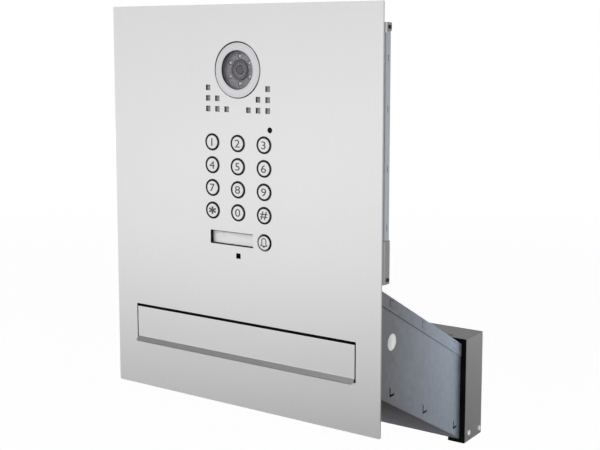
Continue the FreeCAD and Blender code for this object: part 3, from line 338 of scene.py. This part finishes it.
def within(wire, value, low, high):  # 1 between the two, 0 elsewhere
    return wire.maths("GREATER_THAN", value, low) * wire.maths("LESS_THAN", value, high)


# Paints shade on the walls of the panel's openings
def shadeOnCutWalls(wire, metal, place):
    across, depth, height = [axisOf(wire, place, axis) for axis in "XYZ"]
    walls = within(wire, depth, cutWalls["front"], cutWalls["rear"])
    level = within(wire, height, cutWalls["foot"], cutWalls["head"])
    middle = wire.maths("LESS_THAN", across * across, cutWalls["reach"] ** 2)
    return mixed(wire, walls * level * middle, metal, cutWalls["paintedShade"])


def brushed(name, tones, strokes, rough, spread, depth, paintedShade=False):
    material, wire, shader = newFinish(name)
    place = onPiece(wire)
    fine = speckle(wire, onPiece(wire, strokes), "brush")
    patches = speckle(wire, place, "patch")
    metal = tint(wire, fine * brushing["fineShare"] + patches * brushing["patchShare"], tones)
    # painted shade on the walls of the openings
    if paintedShade:
        metal = shadeOnCutWalls(wire, metal, place)
    setSurface(wire, shader, {
        "Metallic": 1.0,
        "Base Color": metal,
        "Roughness": uneven(rough, fine, spread),
        "Normal": relief(wire, fine, depth),
    })
    return material


# Zinc skin: faint crystals under a cloudy haze, with painted light that makes it paler towards the rear
# and painted shade that makes it darker towards the front
zincSkin = {
    "metallic": 0.9,
    "warpScale": 90.0,
    "warpDetail": 2.0,
    "warp": (0.004, 0.004, 0.004),
    "start": 0.10,
    "crystalShare": 0.05,
    "hazeShare": 0.10,
    "rearLightShare": 0.64,
    "spread": 0.05,
    "depth": 0.00001,
}


def galvanised(name, tones, crystal, rough, paintedLightSpan=(0.0, 1.0)):
    material, wire, shader = newFinish(name)
    place = onPiece(wire)
    warp = wire.node("TexNoise", {}, {
        "Vector": place, "Scale": zincSkin["warpScale"], "Detail": zincSkin["warpDetail"]}, "Color")
    bent = wire.node("VectorMath", {"operation": "MULTIPLY_ADD"}, {0: warp, 1: zincSkin["warp"], 2: place})
    cells = wire.node("TexVoronoi", {}, {"Vector": bent, "Scale": 1 / crystal}, "Color")
    grade = wire.node("SeparateColor", {}, {"Color": cells}, "Red")
    haze = speckle(wire, place, "haze")
    # painted light and shade: darker at the front, paler towards the rear
    rear = between(wire, axisOf(wire, place, "Y"), *paintedLightSpan)
    pale = grade * zincSkin["crystalShare"] + haze * zincSkin["hazeShare"] + rear * zincSkin["rearLightShare"]
    setSurface(wire, shader, {
        "Metallic": zincSkin["metallic"],
        "Base Color": tint(wire, pale + zincSkin["start"], tones),
        "Roughness": uneven(rough, grade, zincSkin["spread"]),
        "Normal": relief(wire, speckle(wire, place, "pebble"), zincSkin["depth"]),
    })
    return material


# Turned face: rings round the centre, a bore painted black as shade, and an edge with painted shade that
# is wider at the upper left
turning = {
    "rings": 1100.0,  # in a metre
    "detail": 1.0,
    "contrast": 2.0,
    "shift": 0.5,
    "soft": 0.0002,
    "left": -0.8,
    "up": 0.6,
    "shadeLean": 0.0013,
    # colour of the painted shade on the bore and on the edge
    "dark": (0.02, 0.02, 0.022, 1),
    "spread": 0.10,
    "depth": 0.00002,
}


def turnedRings(name, tones, centre, bore, edge, rough):
    material, wire, shader = newFinish(name)
    arm = onPiece(wire, (1, 0, 1), centre)
    radius = lengthOf(wire, arm)
    rings = wire.node("TexNoise", {"noise_dimensions": "1D"}, {
        "W": radius * turning["rings"], "Scale": 1.0, "Detail": turning["detail"]}, "Fac")
    side = along(wire, arm, (turning["left"] / edge, 0, turning["up"] / edge))
    # painted shade: all round the bore, and on the edge, more towards the upper left
    inside = between(wire, radius, bore + turning["soft"], bore)
    rim = between(wire, radius + side * turning["shadeLean"], edge, edge + turning["soft"])
    metal = tint(wire, rings * turning["contrast"] - turning["shift"], tones)
    setSurface(wire, shader, {
        "Metallic": 1.0,
        "Base Color": mixed(wire, wire.maths("MAXIMUM", inside, rim), metal, turning["dark"]),
        "Roughness": uneven(rough, rings, turning["spread"]),
        "Normal": relief(wire, rings, turning["depth"]),
    })
    return material


# Polished ring: light towards the lower left, dark towards the upper right
ringShade = {
    "way": (-0.90, 0, -0.44),
    "slope": 0.45,
    "middle": 0.45,
    "scuffShare": 0.1,
    "spread": 0.08,
}


def shadedRing(name, tones, centre, reach, rough):
    material, wire, shader = newFinish(name)
    arm = onPiece(wire, centre=centre)
    slope = along(wire, arm, ringShade["way"]) * (ringShade["slope"] / reach)
    scuff = speckle(wire, arm, "scuff")
    setSurface(wire, shader, {
        "Metallic": 1.0,
        "Base Color": tint(wire, slope + ringShade["middle"] + scuff * ringShade["scuffShare"], tones),
        "Roughness": uneven(rough, scuff, ringShade["spread"]),
    })
    return material


# Key cap: brushed face in a rim painted dark as shade, which is wider on the left
capFace = {
    "tones": greys(0.74, 0.80),
    "strokes": (1, 1, 0.05),
    "radius": 0.0077,
    "soft": 0.0002,
    "shadeLean": 0.06,
    # colour of the painted shade on the rim
    "rim": (0.01, 0.01, 0.01, 1),
    "rough": 0.32,
    "rimRougher": 0.2,
    "spread": 0.05,
    "depth": 0.000002,
}


def keyCap(name, centre):
    material, wire, shader = newFinish(name)
    arm = onPiece(wire, (1, 0, 1), centre)
    # painted shade on the rim, wider on the left
    shadeLeaning = lengthOf(wire, arm) - axisOf(wire, arm, "X") * capFace["shadeLean"]
    rim = between(wire, shadeLeaning, capFace["radius"], capFace["radius"] + capFace["soft"])
    fine = speckle(wire, onPiece(wire, capFace["strokes"]), "brush")
    setSurface(wire, shader, {
        "Metallic": 1 - rim,
        "Base Color": mixed(wire, rim, tint(wire, fine, capFace["tones"]), capFace["rim"]),
        "Roughness": uneven(capFace["rough"], fine, capFace["spread"]) + rim * capFace["rimRougher"],
        "Normal": relief(wire, fine, capFace["depth"]),
    })
    return material


# Barrel behind the window: purplish tones in rings, by share of the reach
barrelRings = {
    "tones": ((0.0, 0.14), (0.50, 0.14), (0.54, 0.24), (0.72, 0.21), (0.78, 0.09), (1.0, 0.10)),
    "green": 0.96,
    "blue": 1.08,
    "reach": 0.012,
    "rough": 0.5,
    "spread": 0.1,
}


def ringedPlastic(name, centre):
    material, wire, shader = newFinish(name)
    arm = onPiece(wire, (1, 0, 1), centre)
    stops = [(at, (tone, tone * barrelRings["green"], tone * barrelRings["blue"]))
             for at, tone in barrelRings["tones"]]
    setSurface(wire, shader, {
        "Base Color": ramp(wire, stops, lengthOf(wire, arm) / barrelRings["reach"]),
        "Roughness": uneven(barrelRings["rough"], speckle(wire, arm, "scuff"), barrelRings["spread"]),
    })
    return material


# Moulded plastic, rubber, card and foam
moulding = {
    "spread": 0.12,
    "depth": 0.00003,
    "gloss": 0.5,
}


def moulded(name, tones, rough, grain="scuff", depth=moulding["depth"], gloss=moulding["gloss"]):
    material, wire, shader = newFinish(name)
    place = onPiece(wire)
    bumps = speckle(wire, place, grain)
    setSurface(wire, shader, {
        "Base Color": tint(wire, speckle(wire, place, "cloud"), tones),
        "Roughness": uneven(rough, bumps, moulding["spread"]),
        "Specular IOR Level": gloss,
        "Normal": relief(wire, bumps, depth),
    })
    return material


# Clear or smoked plastic, partly seen through
def smoked(name, tones, body, rough, coat=0.4):
    material, wire, shader = newFinish(name)
    dust = speckle(wire, onPiece(wire), "dust")
    dustRougher = 0.03
    setSurface(wire, shader, {
        "Base Color": tint(wire, dust, tones),
        "Roughness": rough + dust * dustRougher,
        "Alpha": body,
        "Coat Weight": coat,
    })
    return material


# Green board, with paler lines across it
boardLayout = {
    "scale": 130.0,
    "gap": 0.02,
    "dark": (0.008, 0.07, 0.03, 1),
    "light": (0.012, 0.095, 0.04, 1),
    "line": (0.02, 0.15, 0.07, 1),
    "rough": 0.32,
    "rougher": 0.1,
    "coat": 0.3,
}


def circuitBoard(name):
    material, wire, shader = newFinish(name)
    place = onPiece(wire)
    tracks = wire.node("TexBrick", {"offset": 0.5}, {
        "Vector": place, "Scale": boardLayout["scale"], "Mortar Size": boardLayout["gap"],
        "Color1": boardLayout["dark"], "Color2": boardLayout["light"], "Mortar": boardLayout["line"]},
        "Color")
    setSurface(wire, shader, {
        "Base Color": tracks,
        "Roughness": boardLayout["rough"] + speckle(wire, place, "track") * boardLayout["rougher"],
        "Coat Weight": boardLayout["coat"],
    })
    return material


eyeCentre = middleOf(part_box("camera_ring"))
bellCentre = middleOf(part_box("bell_ring"))
plain = (1, 1, 1)  # no strokes
keySigns = {"key_" + digit: digit for digit in "1234567890"}
keySigns.update(key_star="*", key_hash="#")
finishes = {
    "panel_steel": brushed(
        "panelSteel", greys(0.785, 0.82), (1, 1, 0.010), rough=0.34, spread=0.03, depth=0.000002,
        paintedShade=True),
    "polished_steel": shadedRing(
        "bellRing", greys(0.010, 0.34), bellCentre, reach=0.0095, rough=0.22),
    "turned_steel": brushed(
        "brightSteel", greys(0.74, 0.84), plain, rough=0.24, spread=0.08, depth=0.000004),
    "key_metal": brushed(
        "keySteel", capFace["tones"], capFace["strokes"], rough=0.32, spread=0.05, depth=0.000002),
    "galvanised_sheet": galvanised(
        "zincSheet", ((0.30, 0.305, 0.325), (0.67, 0.77, 0.91)), crystal=0.006, rough=0.42,
        paintedLightSpan=(-0.02, 0.26)),
    "frame_steel": galvanised(
        "frameSheet", ((0.66, 0.70, 0.75), (0.82, 0.86, 0.92)), crystal=0.004, rough=0.36),
    "casing_steel": brushed(
        "casingSteel", greys(0.46, 0.57), (1, 1, 0.015), rough=0.36, spread=0.10, depth=0.000005),
    "zinc_plated": galvanised(
        "zincPlated", ((0.50, 0.51, 0.50), (0.68, 0.68, 0.64)), crystal=0.002, rough=0.30),
    "dark_screw": moulded("darkScrew", greys(0.012, 0.028), rough=0.34),
    "black_plastic": moulded("blackPlastic", greys(0.008, 0.014), rough=0.55, gloss=0.25),
    "clear_window": smoked("clearWindow", greys(0.80, 0.88), body=0.06, rough=0.05),
    "lens_glass": smoked("lensGlass", ((0.085, 0.08, 0.092), (0.11, 0.105, 0.118)), body=0.95, rough=0.05),
    "led_resin": moulded("ledResin", ((0.66, 0.66, 0.70), (0.80, 0.80, 0.84)), rough=0.12),
    "circuit_green": circuitBoard("boardGreen"),
    "white_card": moulded("whiteCard", ((0.86, 0.86, 0.85), (0.90, 0.90, 0.89)), rough=0.7),
    "grey_rubber": moulded("greyRubber", greys(0.16, 0.20), rough=0.7),
    "black_rubber": moulded("blackRubber", greys(0.016, 0.030), rough=0.75, grain="rubber", depth=0.00006),
    "speaker_cone": moulded("speakerCone", greys(0.02, 0.045), rough=0.8, grain="cone", depth=0.0001),
    "mesh_steel": moulded("meshCloth", greys(0.25, 0.37), rough=0.8, grain="cloth", depth=0.0001),
    "terminal_plastic": moulded("terminalGreen", ((0.02, 0.16, 0.06), (0.03, 0.2, 0.08)), rough=0.4),
    "lock_brass": brushed(
        "lockChrome", greys(0.60, 0.74), plain, rough=0.20, spread=0.06, depth=0.000004),
    "foam_seal": moulded(
        "foamSeal", greys(0.002, 0.006), rough=0.9, grain="foam", depth=0.0003, gloss=0.08),
}
ownFinishes = {  # nodes that look unlike the rest of their slot
    "camera_ring": turnedRings(
        "eyeRing", ((0.62, 0.62, 0.635), (0.76, 0.76, 0.78)), eyeCentre, bore=0.0226, edge=0.0323,
        rough=0.34),
    "camera_window": smoked(
        "smokedWindow", ((0.190, 0.183, 0.205), (0.215, 0.207, 0.230)), body=0.10, rough=0.10, coat=0.1),
    "camera_housing": moulded("housingGrey", ((0.20, 0.19, 0.21), (0.26, 0.25, 0.27)), rough=0.6),
    "camera_board": moulded("boardMask", ((0.34, 0.33, 0.36), (0.40, 0.39, 0.42)), rough=0.6),
    "camera_barrel": ringedPlastic("barrelRings", eyeCentre),
    "back_box": galvanised(
        "boxSheet", ((0.61, 0.645, 0.68), (0.74, 0.785, 0.83)), crystal=0.005, rough=0.40,
        paintedLightSpan=(-1.0, 1.0)),
    "box_clips": galvanised(
        "clipSheet", ((0.40, 0.39, 0.38), (0.52, 0.51, 0.50)), crystal=0.003, rough=0.40,
        paintedLightSpan=(-1.0, 1.0)),
    "microphone": moulded("microphoneCap", greys(0.004, 0.008), rough=0.6, gloss=0.2),
    "light_sensor": moulded("sensorCap", greys(0.004, 0.008), rough=0.6, gloss=0.2),
    # rivet and pin heads painted near white as a highlight, standing in for the bright reflection on their
    # steel
    "casing_rivets": moulded("rivetPaintedHighlight", greys(0.90, 0.94), rough=0.35),
    "door_pins": moulded("pinPaintedHighlight", greys(0.88, 0.93), rough=0.35),
}
for node in (*keySigns, "bell_button"):
    ownFinishes[node] = keyCap("cap_" + node, middleOf(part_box(node)))


def dressNode(name, material):
    mesh = nodes[name]
    for slot in mesh.material_slots:
        slot.material = material
    if not mesh.material_slots:
        mesh.data.materials.append(material)


for subpart in frame["record"]["subparts"]:
    node = subpart["node"]
    dressNode(node, ownFinishes.get(node) or finishes[subpart["material_slot"]])
print("CAD nodes dressed")

# Tools that the scene's own pieces share
edgeSteps = 2
smoothAngle = math.radians(40)
quarterTurn = math.radians(90)


def onlySelect(piece):
    bpy.ops.object.select_all(action="DESELECT")
    piece.select_set(True)
    bpy.context.view_layer.objects.active = piece


def addDisc(radius, depth, location, rotation, sides):
    bpy.ops.object.select_all(action="DESELECT")
    bpy.ops.mesh.primitive_cylinder_add(
        vertices=sides, radius=radius, depth=depth, location=location, rotation=rotation)
    bpy.ops.object.transform_apply(location=True, rotation=True, scale=True)
    return bpy.context.object


def roundEdges(piece, width):
    bevel = piece.modifiers.new("edge", "BEVEL")
    bevel.width = width
    bevel.segments = edgeSteps
    onlySelect(piece)
    bpy.ops.object.modifier_apply(modifier="edge")
    bpy.ops.object.shade_smooth_by_angle(angle=smoothAngle)


# Plate behind the camera's window, with a hole for each infrared lamp and for the barrel
eyeMask = {
    "front": 0.0034,
    "sheet": 0.0008,
    "radius": 0.0220,
    "barrelHole": 0.0125,
    "lampCount": 6,
    "lampCircle": 0.0162,
    "lampHole": 0.0030,
    "cutter": 0.0032,  # length of what cuts the holes
    "edge": 0.00012,
    "sides": 96,
}
maskGrey = moulded("maskGrey", ((0.28, 0.27, 0.30), (0.33, 0.32, 0.35)), rough=0.6)


def eyeDisc(radius, across, up, depth):
    place = (eyeCentre.x + across, eyeMask["front"] + eyeMask["sheet"] / 2, eyeCentre.z + up)
    return addDisc(radius, depth, place, (quarterTurn, 0, 0), eyeMask["sides"])


def maskPlate(name):
    cutters = [eyeDisc(eyeMask["barrelHole"], 0, 0, eyeMask["cutter"])]
    for i in range(eyeMask["lampCount"]):
        angle = quarterTurn + 2 * math.pi * i / eyeMask["lampCount"]  # the first one is on top
        across = eyeMask["lampCircle"] * math.cos(angle)
        up = eyeMask["lampCircle"] * math.sin(angle)
        cutters.append(eyeDisc(eyeMask["lampHole"], across, up, eyeMask["cutter"]))
    for cutter in cutters:
        cutter.select_set(True)
    bpy.ops.object.join()
    cutter = bpy.context.object
    plate = eyeDisc(eyeMask["radius"], 0, 0, eyeMask["sheet"])
    plate.name = name
    holes = plate.modifiers.new("holes", "BOOLEAN")
    holes.operation = "DIFFERENCE"
    holes.object = cutter
    bpy.ops.object.modifier_apply(modifier="holes")
    roundEdges(plate, eyeMask["edge"])
    bpy.data.objects.remove(cutter)
    plate.data.materials.append(maskGrey)
    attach(plate, "station")


maskPlate("eye_mask")
print("eye masked")


# Digits and signs, printed in the hollow of each key
keyMarks = {
    "height": 0.0092,
    "wider": 1.3,
    "ink": 0.010,  # half its thickness, for type one metre high
    "proud": 0.00004,
    "hollow": 0.00015,
    "seam": 0.000002,  # points nearer than this are one
    "curveSteps": 5,
    "plainSign": (1, 0),  # share of the height, how much bolder for type one metre high
    "boldSigns": {"key_star": (1.02, 0.026), "key_hash": (1.08, 0.010)},
}
bellMark = {
    "dome": (
        (1.9, 5.0), (3.2, 2.9), (2.6, -2.0), (5.8, -3.8),
        (-5.8, -3.8), (-2.6, -2.0), (-3.2, 2.9), (-1.9, 5.0)),
    "clapper": (0, -4.5, 0),
    "clapperRadius": 0.8,
    "line": 0.72,
    "lineSteps": 2,
    "unit": 0.001,  # the bell is drawn in millimetres
    "flat": 0.25,
}
markInk = moulded("markInk", greys(0.05, 0.08), rough=0.55)


def layOnKey(mark, key, share, wider, flat):
    bottom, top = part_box(key)
    front = bottom.y + keyMarks["hollow"] - keyMarks["proud"]
    onlySelect(mark)
    bpy.ops.object.origin_set(type="ORIGIN_GEOMETRY", center="BOUNDS")
    mark.rotation_euler = (quarterTurn, 0, 0)
    mark.scale = (share * wider, share, share * flat)
    mark.location = ((bottom.x + top.x) / 2, front, (bottom.z + top.z) / 2)
    bpy.ops.object.transform_apply(location=True, rotation=True, scale=True)
    bpy.ops.object.mode_set(mode="EDIT")
    bpy.ops.mesh.select_all(action="SELECT")
    bpy.ops.mesh.remove_doubles(threshold=keyMarks["seam"])
    bpy.ops.mesh.normals_make_consistent(inside=False)
    bpy.ops.object.mode_set(mode="OBJECT")
    bpy.ops.object.shade_smooth_by_angle(angle=smoothAngle)
    mark.name = "mark_" + key
    mark.data.materials.append(markInk)
    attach(mark, key)


def keySign(key, sign, size, bolder):
    bpy.ops.object.select_all(action="DESELECT")
    bpy.ops.object.text_add()
    text = bpy.context.object
    text.data.body = sign
    text.data.bevel_depth = bolder
    text.data.extrude = keyMarks["ink"]
    text.data.resolution_u = keyMarks["curveSteps"]
    bpy.ops.object.convert(target="MESH")
    mark = bpy.context.object
    bpy.context.view_layer.update()
    share = keyMarks["height"] * size / mark.dimensions.y
    layOnKey(mark, key, share, keyMarks["wider"], keyMarks["ink"] / (keyMarks["ink"] + bolder))


def bellSign(key):
    bpy.ops.object.select_all(action="DESELECT")
    bpy.ops.curve.primitive_nurbs_circle_add(radius=1)
    dome = bpy.context.object
    outline = dome.data.splines[0]
    outline.use_bezier_u = False
    outline.use_endpoint_u = False
    for point, (across, up) in zip(outline.points, bellMark["dome"]):
        point.co = (across, up, 0, 1)
    bpy.ops.curve.primitive_nurbs_circle_add(
        radius=bellMark["clapperRadius"], location=bellMark["clapper"])
    clapper = bpy.context.object
    for line in (dome, clapper):
        line.data.bevel_depth = bellMark["line"]
        line.data.bevel_resolution = bellMark["lineSteps"]
    onlySelect(dome)
    clapper.select_set(True)
    bpy.ops.object.convert(target="MESH")
    bpy.ops.object.join()
    layOnKey(bpy.context.object, key, bellMark["unit"], 1, bellMark["flat"])


for key, sign in keySigns.items():
    keySign(key, sign, *keyMarks["boldSigns"].get(key, keyMarks["plainSign"]))
bellSign("bell_button")
print("keys marked")


# White blanking plugs in the round holes of the chute's sides
holePlug = {
    "place": (0.0448, 0.0976),  # depth and height of the holes
    "sheet": 0.001,
    "holeRadius": 0.0100,
    "fit": 0.00015,
    "flange": 0.0016,
    "flangeDepth": 0.0010,
    "recess": 0.0003,
    "rim": 0.0014,
    "dish": 0.0006,
    "edge": 0.00025,
    "sides": 64,
    "tones": greys(0.74, 0.96),
    "paintedLightFrom": 0.034,  # painted light: whiter from this depth on, where the light falls in
    "lightTo": 0.054,
    "paintedLightShare": 0.9,
    "grainShare": 0.1,
    "rough": 0.42,
    "spread": 0.1,
}


def plugPlastic(name):
    material, wire, shader = newFinish(name)
    place = onPiece(wire)
    # painted light, whiter towards the rear of the plug
    light = between(wire, axisOf(wire, place, "Y"), holePlug["paintedLightFrom"], holePlug["lightTo"])
    grain = speckle(wire, place, "scuff")
    white = light * holePlug["paintedLightShare"] + grain * holePlug["grainShare"]
    setSurface(wire, shader, {
        "Base Color": tint(wire, white, holePlug["tones"]),
        "Roughness": uneven(holePlug["rough"], grain, holePlug["spread"]),
    })
    return material


plugWhite = plugPlastic("plugWhite")


# Selects the disc's round face that looks outwards
def outerFace(mesh, side):
    bpy.ops.mesh.select_mode(type="FACE")
    bpy.ops.mesh.select_all(action="DESELECT")
    form = bmesh.from_edit_mesh(mesh)
    form.faces.ensure_lookup_table()
    ends = [face for face in form.faces if len(face.verts) == holePlug["sides"]]
    outer = max(ends, key=lambda face: side * face.calc_center_median().x)
    outer.select_set(True)
    form.faces.active = outer
    bmesh.update_edit_mesh(mesh)


def pushFace(distance):
    bpy.ops.mesh.extrude_region_move(TRANSFORM_OT_translate={"value": (distance, 0, 0)})


def blankingPlug(name, side):
    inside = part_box("chute_tray")[1].x - holePlug["sheet"]
    flangeRadius = holePlug["holeRadius"] + holePlug["flange"]
    place = (side * (inside - holePlug["flangeDepth"] / 2), *holePlug["place"])
    plug = addDisc(flangeRadius, holePlug["flangeDepth"], place, (0, quarterTurn, 0), holePlug["sides"])
    plug.name = name
    bpy.ops.object.mode_set(mode="EDIT")
    outerFace(plug.data, side)
    bpy.ops.mesh.inset(thickness=flangeRadius - (holePlug["holeRadius"] - holePlug["fit"]))
    pushFace(side * (holePlug["sheet"] - holePlug["recess"]))
    bpy.ops.mesh.inset(thickness=holePlug["rim"])
    pushFace(-side * holePlug["dish"])
    bpy.ops.object.mode_set(mode="OBJECT")
    roundEdges(plug, holePlug["edge"])
    plug.data.materials.append(plugWhite)
    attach(plug, "station")


blankingPlug("plug_right", 1)
blankingPlug("plug_left", -1)
print("side holes plugged")
